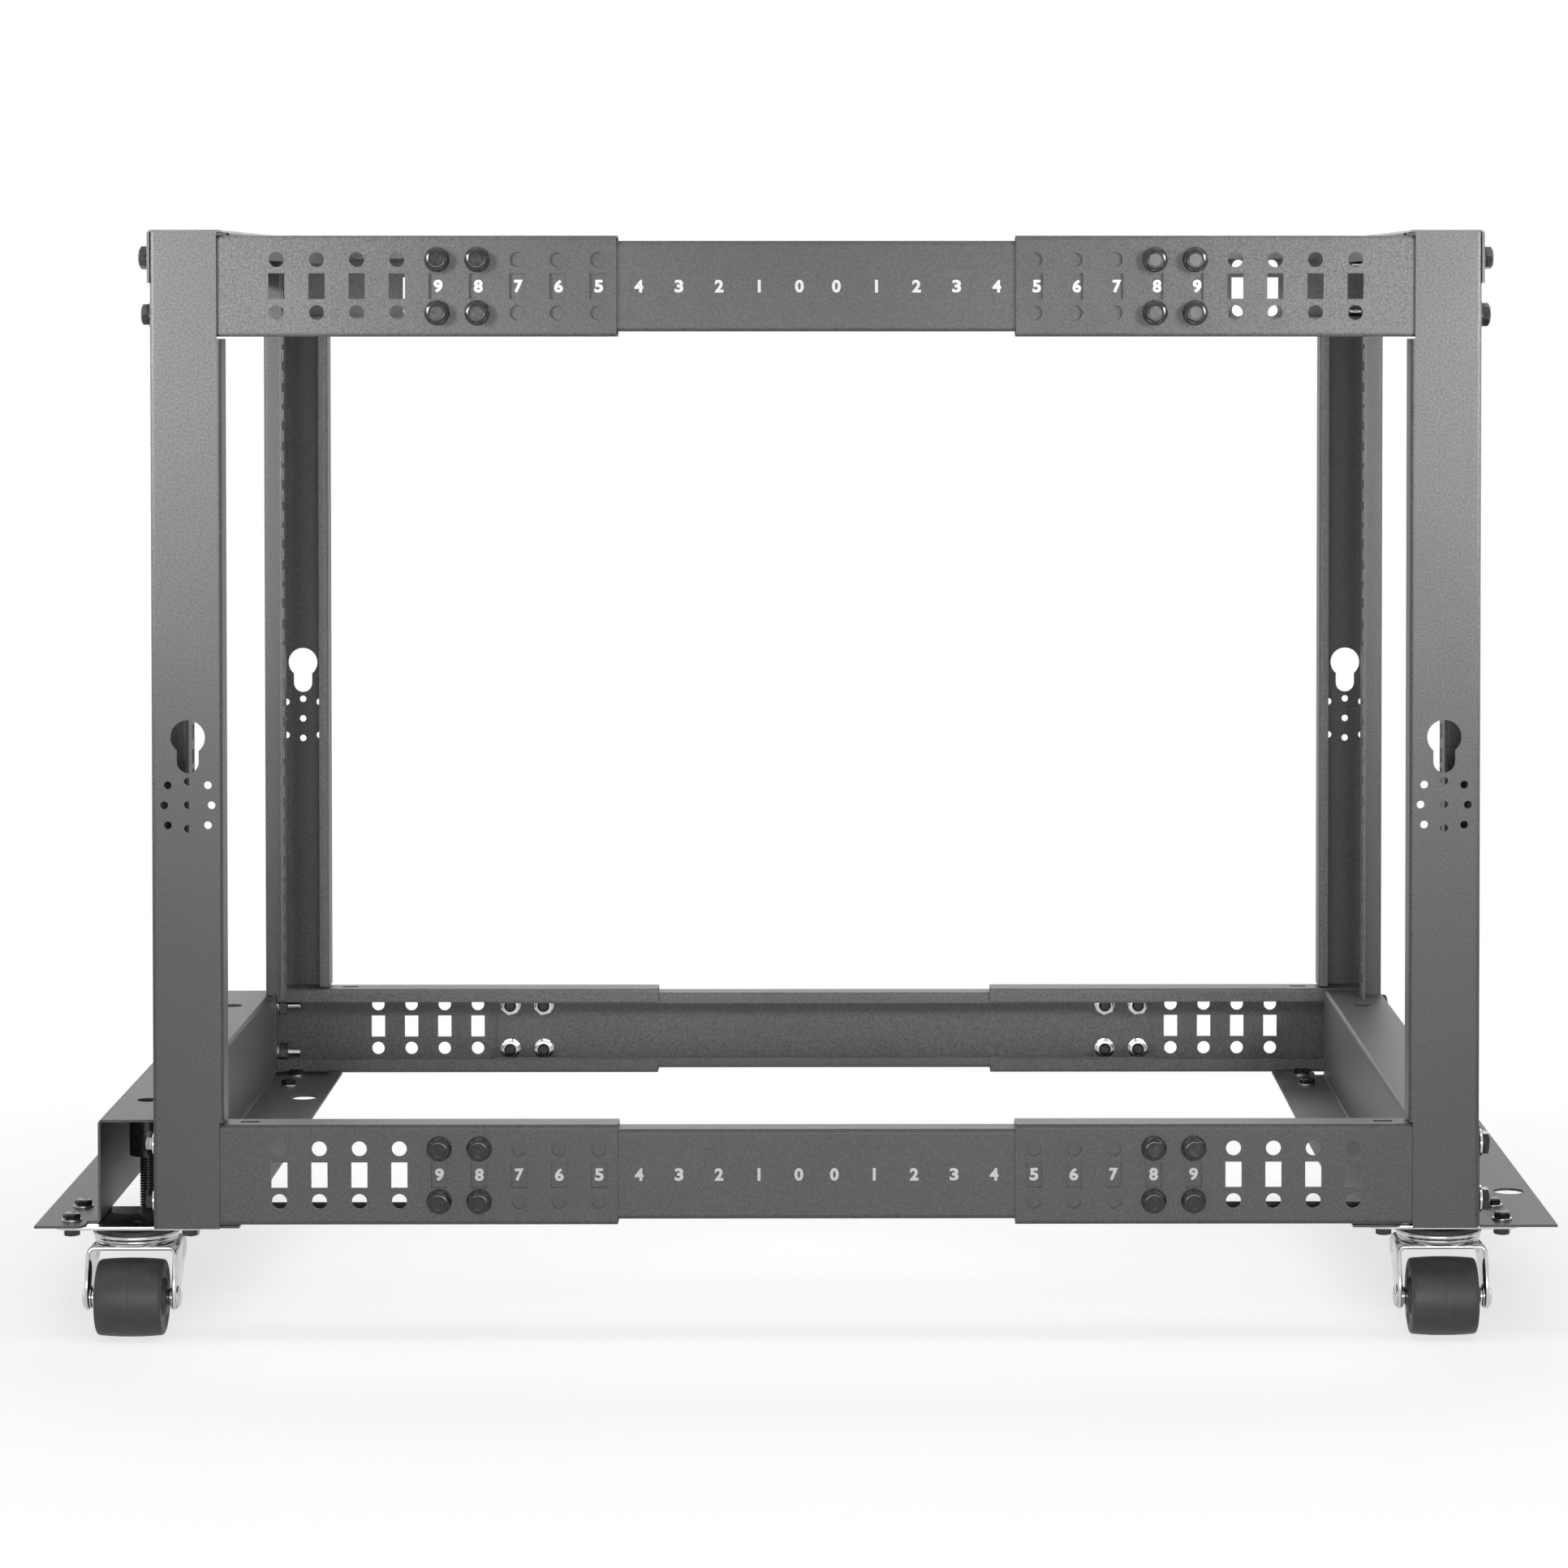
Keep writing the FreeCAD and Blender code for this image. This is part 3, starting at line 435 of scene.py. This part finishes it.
def column_places(end):
    """X of the columns of holes and numbers along a rail, from the given end inwards."""
    low, high = box_mm(f"{end}_left_post")
    if end == "front":
        return [low.x + COLUMN_FIRST + COLUMN_STEP * i for i in range(COLUMNS)]
    return [high.x - COLUMN_FIRST - COLUMN_STEP * i for i in range(COLUMNS)]


def rail_bolts():
    """Flange bolts that fix each inner rail in its sleeves, with their nuts inside the rail."""
    b = RAIL_BOLT
    flange, base = b["flange"] / 2, b["flange_thick"]
    collar = [(0, 0), (flange - 0.3, 0), (flange, 0.35), (flange - 0.15, 0.9), (flange - 0.8, 1.25),
              (b["across_flats"] / 2 + 0.4, base + 0.35), (0, base + 0.4)]
    reach = b["washer_thick"] + b["nut"] + b["past_nut"]
    heads, nuts = bmesh.new(), bmesh.new()
    for end, side in CORNERS:
        out = -1 if side == "left" else 1
        for level in ("bottom", "top"):
            low, high = box_mm(f"{level}_{side}_{end}_sleeve")
            inner_low, inner_high = box_mm(f"{level}_{side}_inner_rail")
            outside = low.y if out < 0 else high.y
            inside = (inner_low.y + SHEET) if out < 0 else (inner_high.y - SHEET)
            for column in BOLTED_COLUMNS:
                for way in (-1, 1):
                    spot_x = column_places(end)[column]
                    spot_z = (low.z + high.z) / 2 + way * RAIL_HOLE_RISE
                    lean = math.radians(chance.uniform(-BOLT_LEAN, BOLT_LEAN))
                    turn = chance.uniform(0, math.pi / 3)
                    place = along((spot_x, outside, spot_z), (lean, out, lean), turn)
                    lathe(heads, place, collar)
                    hex_head(heads, place, b["across_flats"], b["head"], base, dish=0.5)
                    back = along((spot_x, inside, spot_z), (0, -out, 0), chance.uniform(0, math.pi / 3))
                    washer(nuts, back, b["washer"], b["thread"], b["washer_thick"])
                    raised = back @ Matrix.Translation((0, 0, b["washer_thick"] * MM))
                    hex_nut(nuts, raised, b["across_flats"], b["nut"], b["thread"])
                    threaded(heads, back, b["thread"], b["pitch"], reach, start=HIDDEN_START)
    add_piece("rail_bolt_heads", heads, "root", "black_oxide")
    add_piece("rail_bolt_nuts", nuts, "root", "zinc")


# ------------------------------------------------------------------ casters


def rounded_rectangle(half_long, half_wide, corner, steps=6):
    """Points round a rectangle with rounded corners."""
    points = []
    for cx, cy, start in ((1, 1, 0), (-1, 1, 90), (-1, -1, 180), (1, -1, 270)):
        for k in range(steps + 1):
            angle = math.radians(start + 90 * k / steps)
            points.append((cx * (half_long - corner) + corner * math.cos(angle),
                           cy * (half_wide - corner) + corner * math.sin(angle)))
    return points


def caster_plate(corner, axis_x, axis_y):
    """Pressed top plate with the tapered cup that holds the balls."""
    low, high = box_mm(f"{corner}_caster_plate")
    top = high.z
    under = top - CASTER_PLATE_THICK
    work = bmesh.new()
    place = Matrix.Translation(Vector((axis_x, axis_y, 0)) * MM)
    rings = []
    half_long, half_wide = (high.x - low.x) / 2, (high.y - low.y) / 2
    for height, shrink in ((under, 0.45), (under + 0.15, 0.12), (under + 0.5, 0.0), (top - 0.5, 0.0),
                           (top - 0.15, 0.12), (top, 0.45)):
        ring = rounded_rectangle(half_long - shrink, half_wide - shrink, CASTER_PLATE_CORNER - shrink)
        rings.append([(x, y, height) for x, y in ring])
    ring_surface(work, place, rings)
    cup = [(19.9, under + 0.3), (25.6, under + 0.3), (25.5, under - 0.3), (25.0, under - 1.1),
           (24.0, under - 2.2), (22.8, under - 3.2), (21.4, under - 3.9), (20.4, under - 4.1),
           (19.9, under - 3.9)]
    lathe(work, place, cup + cup[:1], steps=64)
    core = under - 6.2
    lathe(work, place, [(0, core), (18.4, core), (18.4, under - 0.2), (0, under - 0.2)])
    piece = add_piece(f"{corner}_caster_top", work, "root", "zinc")
    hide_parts(f"{corner}_caster_plate")


def caster_seal(corner, axis_x, axis_y):
    """Black ring in the gap between the two halves of the swivel race, painted shade: a dark piece put where
    that gap is in shadow.
    """
    work = bmesh.new()
    place = Matrix.Translation(Vector((axis_x, axis_y, 0)) * MM)
    ring = [(20.0, 64.2), (24.4, 64.4), (25.3, 65.0), (25.2, 65.8), (23.8, 66.9), (22.0, 67.0), (20.0, 66.6)]
    lathe(work, place, ring + ring[:1], steps=64)
    add_piece(f"{corner}_caster_seal", work, "root", "wheel_black")


def fork_edges(height):
    """A fork leg's back and front edges at a height, measured from the swivel's axis."""
    if height < AXLE_HEIGHT:
        sunk = (AXLE_HEIGHT - height) / (AXLE_HEIGHT - FORK_FOOT)
        wide = FORK_REACH * math.sqrt(max(0.0, 1 - sunk ** 2))
        return -TRAIL - wide, -TRAIL + wide
    back = -TRAIL - FORK_REACH
    if height >= FORK_BACK_START:
        back += FORK_BACK_IN * (height - FORK_BACK_START) / (FORK_TOP - FORK_BACK_START)
    climb = (height - AXLE_HEIGHT) / (FORK_SHOULDER - AXLE_HEIGHT)
    return back, min(FORK_FRONT, -TRAIL + FORK_REACH + FORK_FRONT_OUT * climb)


def caster_fork(corner, axis_x, axis_y):
    """Folded fork under a grooved race ring, on one swivelling body."""
    low, high = box_mm(f"{corner}_caster_fork")
    half = (high.x - low.x) / 2
    thick, top = FORK_THICK, FORK_TOP
    outer_bend = 2 * thick
    heights = [FORK_FOOT, 17.3, 18.0, 19.0, 20.5, 22.5, AXLE_HEIGHT, 30.0, FORK_BACK_START, 40.0, 44.0,
               FORK_SHOULDER, top - outer_bend]
    path = [((half, z), (half - thick, z), z) for z in heights]
    for k in range(1, 7):
        angle = math.radians(90 * k / 6)
        cx, cz = half - outer_bend, top - outer_bend
        outside = (cx + outer_bend * math.cos(angle), cz + outer_bend * math.sin(angle))
        inside = (cx + (outer_bend - thick) * math.cos(angle), cz + (outer_bend - thick) * math.sin(angle))
        path.append((outside, inside, outside[1]))
    path += [((x, top), (x, top - thick), top) for x in (20.0, 14.0, 7.0)]
    full = path + [((0.0, top), (0.0, top - thick), top)]
    full += [((-o[0], o[1]), (-i[0], i[1]), z) for o, i, z in reversed(path)]
    work = bmesh.new()
    place = Matrix.Translation(Vector((axis_x, axis_y, 0)) * MM)
    rings = []
    t = FORK_EDGE / thick
    for (ox, oz), (ix, iz), height in full:
        back, front = fork_edges(height)
        back, front = min(back, front - 0.1), max(front, back + 0.1)
        soft = min(FORK_EDGE, (front - back) / 4)
        blend_out = (ox + (ix - ox) * t, oz + (iz - oz) * t)
        blend_in = (ix + (ox - ix) * t, iz + (oz - iz) * t)
        rings.append([
            (ox, back + soft, oz), (ox, (back + front) / 2, oz), (ox, front - soft, oz),
            (blend_out[0], front, blend_out[1]), (blend_in[0], front, blend_in[1]),
            (ix, front - soft, iz), (ix, (back + front) / 2, iz), (ix, back + soft, iz),
            (blend_in[0], back, blend_in[1]), (blend_out[0], back, blend_out[1]),
        ])
    ring_surface(work, place, rings)
    race = [(19.2, 57.4), (22.4, 57.5), (24.8, 57.9), (25.9, 58.6), (25.6, 59.2), (25.9, 59.7), (26.9, 60.3),
            (27.1, 60.9), (26.8, 61.4), (27.0, 61.9), (27.7, 62.7), (28.0, 63.6), (27.9, 64.3), (27.5, 64.8),
            (26.8, 64.9), (25.9, 64.4), (24.6, 63.8), (22.0, 63.5), (19.2, 63.5)]
    lathe(work, place, race + race[:1], steps=72)
    pin = [(0, 52.2), (3.5, 52.4), (5.8, 53.2), (6.6, 54.2), (6.6, 55.5), (0, 55.5)]
    lathe(work, place, pin, steps=32)
    piece = add_piece(f"{corner}_caster_yoke", work, f"{corner}_swivel", "zinc", sharp=50)
    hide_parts(f"{corner}_caster_fork")


def caster_wheel(corner, middle):
    """Crowned nylon wheel with rounded shoulders, a moulding seam and raised hubs."""
    work = bmesh.new()
    place = along(middle, (1, 0, 0))
    half = [(24.94, 0.35), (24.98, 0.8), (24.9, 7.0), (24.6, 13.0), (24.3, 17.2), (24.1, 19.2), (23.8, 20.3),
            (23.3, 20.9), (22.5, 21.3), (21.4, 21.5), (20.0, 21.5), (18.8, 21.3), (17.8, 20.4), (14.5, 20.2),
            (12.4, 20.5), (11.6, 21.6), (11.2, 22.6), (10.4, 23.0), (6.2, 23.0), (4.1, 22.6)]
    profile = both_ways(half)
    profile.insert(len(half), (24.80, 0.0))
    lathe(work, place, profile + profile[:1], steps=96)
    piece = add_piece(f"{corner}_caster_roller", work, f"{corner}_wheel", "wheel_black", sharp=40)
    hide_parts(f"{corner}_caster_wheel")


def caster_axle(corner, middle):
    """Riveted axle: domed heads outside the legs and flanged bushes inside them."""
    work = bmesh.new()
    place = along(middle, (1, 0, 0))
    half = [(4.0, 23.5), (5.2, 23.5), (5.4, 23.8), (5.4, 25.2), (7.0, 25.4), (7.2, 25.7), (7.2, 26.5),
            (7.0, 26.72), (4.0, 26.72), (4.0, 28.98), (6.9, 28.98), (7.2, 29.25), (7.0, 29.8), (6.3, 30.6),
            (5.0, 31.3), (3.2, 31.75), (1.4, 31.95), (0.0, 32.0)]
    lathe(work, place, both_ways(half), steps=40)
    piece = add_piece(f"{corner}_caster_rivet", work, f"{corner}_swivel", "zinc", sharp=50)
    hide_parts(f"{corner}_caster_axle")


def caster_bolts():
    """Four bolts hold each caster: head and washer on the base channel, nut under the caster's plate."""
    b = CASTER_BOLT
    head_top = b["washer_thick"] + b["head"]
    heads, washers = bmesh.new(), bmesh.new()
    for end, side in CORNERS:
        low, high = box_mm(f"{end}_{side}_caster_plate")
        middle = (low + high) / 2
        top = high.z + SHEET
        under = high.z - CASTER_PLATE_THICK
        for way_x in (-1, 1):
            for way_y in (-1, 1):
                spot = (middle.x + way_x * CASTER_HOLES[0] / 2, middle.y + way_y * CASTER_HOLES[1] / 2)
                place = along((*spot, top), (0, 0, 1), chance.uniform(0, math.pi / 3))
                washer(washers, place, b["washer"], b["thread"], b["washer_thick"])
                hex_head(heads, place, b["across_flats"], head_top, b["washer_thick"], dish=0.3)
                below = along((*spot, under), (0, 0, -1), chance.uniform(0, math.pi / 3))
                hex_nut(heads, below, b["across_flats"], b["nut"], b["thread"])
                threaded(heads, below, b["thread"], b["pitch"], b["nut"] + b["past_nut"], start=HIDDEN_START)
    add_piece("caster_bolt_heads", heads, "root", "black_oxide")
    add_piece("caster_bolt_washers", washers, "root", "zinc")


# ------------------------------------------------------------------ levelling screws


def levelling_screw(corner):
    """Threaded rod of a levelling screw, from its top down."""
    low, high = box_mm(f"{corner}_leveller_screw")
    middle = (low + high) / 2
    work = bmesh.new()
    place = along((middle.x, middle.y, high.z), (0, 0, -1))
    b = LEVELLING_SCREW
    threaded(work, place, b["thread"], b["pitch"], high.z - low.z, b["depth"], steps=28)
    piece = add_piece(f"{corner}_levelling_thread", work, "root", "black_oxide", sharp=60)
    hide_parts(f"{corner}_leveller_screw")


# ------------------------------------------------------------------ numbers


def digit_mesh(digit):
    """One bold digit as a mesh, of the printed size, with its middle at the origin."""
    text = bpy.data.curves.new(f"digit_{digit}", "FONT")
    text.body = str(digit)
    text.size = NUMBER_HIGH * MM / FONT_DIGIT
    text.offset = NUMBER_BOLDER * MM
    text.extrude = NUMBER_HALF_THICK * MM
    text.resolution_u = 6
    holder = bpy.data.objects.new(f"digit_{digit}", text)
    bpy.context.scene.collection.objects.link(holder)
    bpy.context.view_layer.update()
    mesh = bpy.data.meshes.new_from_object(holder)
    bpy.data.objects.remove(holder)
    bpy.data.curves.remove(text)
    xs = [v.co.x for v in mesh.vertices]
    ys = [v.co.y for v in mesh.vertices]
    high = NUMBER_HIGH * MM / (max(ys) - min(ys))
    wide = high if digit == 1 else NUMBER_WIDE * MM / (max(xs) - min(xs))
    mesh.transform(Matrix.Diagonal((wide, high, 1, 1)) @ Matrix.Translation(
        (-(max(xs) + min(xs)) / 2, -(max(ys) + min(ys)) / 2, 0)))
    return mesh


def rail_numbers():
    """Hole numbers printed on the outside of each inner rail, counted down towards its middle."""
    digits = {digit: digit_mesh(digit) for digit in range(LAST_NUMBER + 1)}
    for level in ("bottom", "top"):
        for side in ("left", "right"):
            low, high = box_mm(f"{level}_{side}_inner_rail")
            face = (low.y - NUMBER_PROUD) if side == "left" else (high.y + NUMBER_PROUD)
            work = bmesh.new()
            for end in ("front", "rear"):
                places = column_places(end)
                for digit, shape in digits.items():
                    column = BOLTED_COLUMNS[0] + LAST_NUMBER - digit
                    shift = NUMBER_SHIFT.get((level, end), 0.0)
                    spot = Vector((places[column] + shift, face, (low.z + high.z) / 2)) * MM
                    facing = Matrix.Rotation(math.radians(90), 4, "X")
                    if side == "right":
                        facing = Matrix.Rotation(math.radians(180), 4, "Z") @ facing
                    copy = shape.copy()
                    copy.transform(Matrix.Translation(spot) @ facing)
                    work.from_mesh(copy)
                    bpy.data.meshes.remove(copy)
            add_piece(f"{level}_{side}_numbers", work, "root", INK)
    for shape in digits.values():
        bpy.data.meshes.remove(shape)


# ------------------------------------------------------------------ build the pieces

corner_bolts()
rail_bolts()
caster_bolts()
rail_numbers()
for end, side in CORNERS:
    corner = f"{end}_{side}"
    plate_low, plate_high = box_mm(f"{corner}_caster_plate")
    wheel_low, wheel_high = box_mm(f"{corner}_caster_wheel")
    swivel = (plate_low + plate_high) / 2
    hub = (wheel_low + wheel_high) / 2
    hub.z = AXLE_HEIGHT
    caster_plate(corner, swivel.x, swivel.y)
    # a black ring of painted shade in the gap of the swivel race
    caster_seal(corner, swivel.x, swivel.y)
    caster_fork(corner, swivel.x, swivel.y)
    caster_wheel(corner, tuple(hub))
    caster_axle(corner, tuple(hub))
    levelling_screw(corner)

# ------------------------------------------------------------------ floor and world

FLOOR_SQUEEZE = 0.95           # width over length of the patch of floor that keeps the shadow
SHADOW_FADE = (0.56, 0.85)     # metres from the middle where that patch starts and ends fading to white


def make_floor():
    """A pale floor. Camera, mirror and glass rays see it as white paper that keeps the rack's shadow near the
    rack and is plain white farther out."""
    work = bmesh.new()
    bmesh.ops.create_grid(work, x_segments=24, y_segments=24, size=4.0)
    mesh = bpy.data.meshes.new("studio_floor")
    work.to_mesh(mesh)
    work.free()
    floor = bpy.data.objects.new("studio_floor", mesh)
    bpy.context.scene.collection.objects.link(floor)

    material = bpy.data.materials.new("white_paper")
    material.use_nodes = True
    tree = material.node_tree
    tree.nodes.clear()
    n = Nodes(material)

    def shader(kind, colour):
        """A diffuse or emission shader of one grey."""
        node = tree.nodes.new(kind)
        node.inputs["Color"].default_value = (colour, colour, colour, 1)
        return node.outputs[0]

    def mixed(factor, first, second):
        """The first shader where the factor is 0, the second where it is 1."""
        node = tree.nodes.new("ShaderNodeMixShader")
        tree.links.new(factor, node.inputs[0])
        tree.links.new(first, node.inputs[1])
        tree.links.new(second, node.inputs[2])
        return node.outputs[0]

    paper = shader("ShaderNodeBsdfDiffuse", 0.28)
    shadowed = tree.nodes.new("ShaderNodeAddShader")
    tree.links.new(shader("ShaderNodeBsdfDiffuse", 0.80), shadowed.inputs[0])
    tree.links.new(shader("ShaderNodeEmission", 0.66), shadowed.inputs[1])
    white = shader("ShaderNodeEmission", 1.0)
    squeezed = tree.nodes.new("ShaderNodeMapping")
    squeezed.inputs["Scale"].default_value = (FLOOR_SQUEEZE, 1.0, 1.0)
    length = tree.nodes.new("ShaderNodeVectorMath")
    length.operation = "LENGTH"
    tree.links.new(n.place, squeezed.inputs["Vector"])
    tree.links.new(squeezed.outputs["Vector"], length.inputs[0])
    away = n.span(length.outputs["Value"], 0.0, 1.0, *SHADOW_FADE)
    seen = mixed(away, shadowed.outputs[0], white)
    light = tree.nodes.new("ShaderNodeLightPath")
    rays = n.math("MAXIMUM", light.outputs["Is Camera Ray"],
                  n.math("MAXIMUM", light.outputs["Is Glossy Ray"], light.outputs["Is Transmission Ray"]))
    out = tree.nodes.new("ShaderNodeOutputMaterial")
    tree.links.new(mixed(rays, paper, seen), out.inputs["Surface"])
    mesh.materials.append(material)


def make_world():
    """White to the camera and in mirrors and glass, a soft grey fill as a source of light."""
    world = bpy.data.worlds.new("studio")
    bpy.context.scene.world = world
    world.use_nodes = True
    tree = world.node_tree
    tree.nodes.clear()
    light = tree.nodes.new("ShaderNodeLightPath")
    seen, other = (tree.nodes.new("ShaderNodeMath") for _ in range(2))
    seen.operation = other.operation = "MAXIMUM"
    tree.links.new(light.outputs["Is Glossy Ray"], other.inputs[0])
    tree.links.new(light.outputs["Is Transmission Ray"], other.inputs[1])
    tree.links.new(light.outputs["Is Camera Ray"], seen.inputs[0])
    tree.links.new(other.outputs[0], seen.inputs[1])
    fill, white = (tree.nodes.new("ShaderNodeBackground") for _ in range(2))
    fill.inputs["Color"].default_value = (0.5, 0.5, 0.5, 1)
    fill.inputs["Strength"].default_value = 0.20
    white.inputs["Color"].default_value = (1, 1, 1, 1)
    mix = tree.nodes.new("ShaderNodeMixShader")
    tree.links.new(seen.outputs[0], mix.inputs[0])
    tree.links.new(fill.outputs[0], mix.inputs[1])
    tree.links.new(white.outputs[0], mix.inputs[2])
    out = tree.nodes.new("ShaderNodeOutputWorld")
    tree.links.new(mix.outputs[0], out.inputs["Surface"])


def add_lamp(name, place, target, size, power, spread=180):
    """A rectangular soft box at place, in metres, turned to face target; spread is its beam in degrees."""
    lamp = bpy.data.lights.new(name, "AREA")
    lamp.shape = "RECTANGLE"
    lamp.size, lamp.size_y = size
    lamp.energy = power
    lamp.spread = math.radians(spread)
    holder = bpy.data.objects.new(name, lamp)
    bpy.context.scene.collection.objects.link(holder)
    holder.location = place
    holder.visible_camera = False
    holder.rotation_euler = (Vector(target) - Vector(place)).to_track_quat("-Z", "Y").to_euler()


make_floor()
make_world()
add_lamp("overhead", (0.0, -0.60, 1.6), (0.0, -0.45, 0.0), (1.6, 0.6), 4)
add_lamp("front_left", (-0.98, -0.80, 0.82), (-0.56, -0.3, 0.68), (0.5, 0.4), 2.0, 40)
add_lamp("front_right", (1.02, -0.85, 0.82), (0.56, -0.3, 0.66), (0.5, 0.4), 2.0, 42)
add_lamp("front", (0.0, -2.6, 0.3), (0.0, -0.2, 0.10), (2.0, 0.5), 11, 110)
add_lamp("right_card", (0.46, -3.25, 0.70), (0.24, -0.3, 0.67), (0.42, 0.42), 4)
add_lamp("back", (0.0, 2.3, 1.5), (0.0, 0.3, 0.3), (2.0, 1.0), 16)
add_lamp("left_side", (-2.4, 0.2, 0.8), (-0.4, 0.0, 0.35), (1.0, 1.0), 2.6)
add_lamp("right_side", (2.4, 0.2, 0.8), (0.4, 0.0, 0.35), (1.0, 1.0), 2.6)

# ------------------------------------------------------------------ camera

# solved from holes and edges measured in the photo, with part of the view's slant taken up by the lens shift
camera = bpy.data.cameras.new("camera")
camera.sensor_width = 36.0
camera.lens = 104.97
camera.shift_x = -0.0642
camera.shift_y = -0.2341
view = bpy.data.objects.new("camera", camera)
bpy.context.scene.collection.objects.link(view)
view.location = Vector((42.0, -3192.8, 666.6)) * MM
view.rotation_euler = (math.radians(90 - 1.5), 0.0, math.radians(-0.282))
bpy.context.scene.camera = view
bpy.context.scene.view_settings.view_transform = "Standard"
